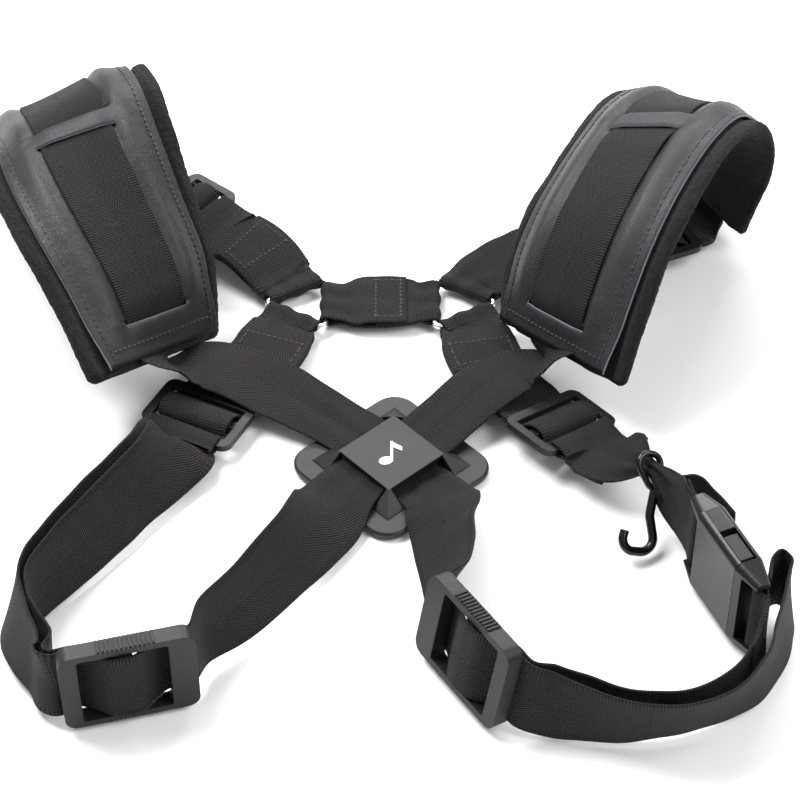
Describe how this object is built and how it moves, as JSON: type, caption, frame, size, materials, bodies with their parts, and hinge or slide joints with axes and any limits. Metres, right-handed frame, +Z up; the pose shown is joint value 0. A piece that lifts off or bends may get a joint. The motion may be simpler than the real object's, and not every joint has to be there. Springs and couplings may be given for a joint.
{
  "type": "saxophone harness",
  "caption": "Two-shoulder instrument harness with padded straps, a cross plate, slider-adjusted side loops, wire rings, a side-release buckle and a wire hook, laid out flat.",
  "frame": {"origin": "centre of the cross plate's underside, on the surface the harness lies on", "axes": "+X to the harness's right as laid out, +Y from the cross plate towards the shoulder pads, +Z up"},
  "size_m": [0.4239, 0.4261, 0.1118],
  "materials": {
    "webbing": "woven, matte",
    "leather": "smooth, low sheen",
    "foam": "matte foam",
    "lining": "velour pile",
    "hardware_plastic": "fine matte",
    "buckle_plastic": "satin gloss",
    "ring_wire": "nickel plated",
    "hook_wire": "gloss black coating",
    "print": "printed"
  },
  "bodies": {
    "harness": {"buckle_socket": "buckle_plastic", "cross_strap_a": "webbing", "cross_strap_b": "webbing", "hook_strap": "webbing", "left_back_slider": "hardware_plastic", "left_back_strap": "webbing", "left_loop_inner": "webbing", "left_loop_outer": "webbing", "left_pad_core": "foam", "left_pad_cover": "leather", "left_pad_lining": "lining", "left_pad_strap": "webbing", "left_ring_strap": "webbing", "left_side_slider": "hardware_plastic", "left_tab_strap": "webbing", "link_strap": "webbing", "note_print": "print", "plate_base": "hardware_plastic", "plate_cover": "hardware_plastic", "right_back_slider": "hardware_plastic", "right_back_strap": "webbing", "right_loop_inner_back": "webbing", "right_loop_inner_front": "webbing", "right_loop_outer_back": "webbing", "right_loop_outer_front": "webbing", "right_pad_core": "foam", "right_pad_cover": "leather", "right_pad_lining": "lining", "right_pad_strap": "webbing", "right_ring_strap": "webbing", "right_side_slider": "hardware_plastic", "right_tab_strap": "webbing"},
    "left_slider": {"left_front_slider": "hardware_plastic"},
    "right_slider": {"right_front_slider": "hardware_plastic"},
    "left_ring_wire": {"left_ring": "ring_wire"},
    "right_ring_wire": {"right_ring": "ring_wire"},
    "hook": {"hook": "hook_wire"},
    "plug": {"buckle_plug": "buckle_plastic"},
    "upper_prong": {"prong_upper": "buckle_plastic"},
    "lower_prong": {"prong_lower": "buckle_plastic"}
  },
  "joints": [
    {"name": "left_slider_slide", "type": "slide", "parent": "harness", "child": "left_slider", "axis": [-0.9681, -0.2504, 0], "range_m": [-0.008, 0.008], "deforming": ["cross_strap_b", "left_loop_outer", "left_loop_inner"]},
    {"name": "right_slider_slide", "type": "slide", "parent": "harness", "child": "right_slider", "axis": [0.5592, -0.829, 0], "range_m": [-0.008, 0.008], "deforming": ["cross_strap_a", "right_loop_outer_front", "right_loop_inner_front"]},
    {"name": "left_ring_pivot", "type": "hinge", "parent": "harness", "child": "left_ring_wire", "pos_m": [-0.034, 0.115, 0.0042], "axis": [0, 1, 0], "range_deg": [0, 15], "deforming": ["left_tab_strap", "left_ring_strap"]},
    {"name": "right_ring_pivot", "type": "hinge", "parent": "harness", "child": "right_ring_wire", "pos_m": [0.022, 0.115, 0.0042], "axis": [0, -1, 0], "range_deg": [0, 15], "deforming": ["right_tab_strap", "right_ring_strap"]},
    {"name": "hook_swing", "type": "hinge", "parent": "harness", "child": "hook", "pos_m": [0.1225, -0.0283, 0.0279], "axis": [-0.5408, 0.8412, 0], "range_deg": [-15, 60], "deforming": ["hook_strap"]},
    {"name": "buckle_release", "type": "slide", "parent": "harness", "child": "plug", "axis": [0.3987, -0.9171, 0], "range_m": [0, 0.032], "deforming": ["right_loop_outer_back", "right_loop_inner_back"]},
    {"name": "upper_prong_squeeze", "type": "hinge", "parent": "plug", "child": "upper_prong", "pos_m": [0.15784, -0.10618, 0.0427], "axis": [-0.9171, -0.3987, 0], "range_deg": [0, 7], "stiffness_Nm_per_rad": 0.4},
    {"name": "lower_prong_squeeze", "type": "hinge", "parent": "plug", "child": "lower_prong", "pos_m": [0.15784, -0.10618, 0.0077], "axis": [-0.9171, -0.3987, 0], "range_deg": [-7, 0], "stiffness_Nm_per_rad": 0.4}
  ],
  "couplings": [
    {"joint": "lower_prong_squeeze", "follows": "upper_prong_squeeze", "ratio": -1}
  ]
}
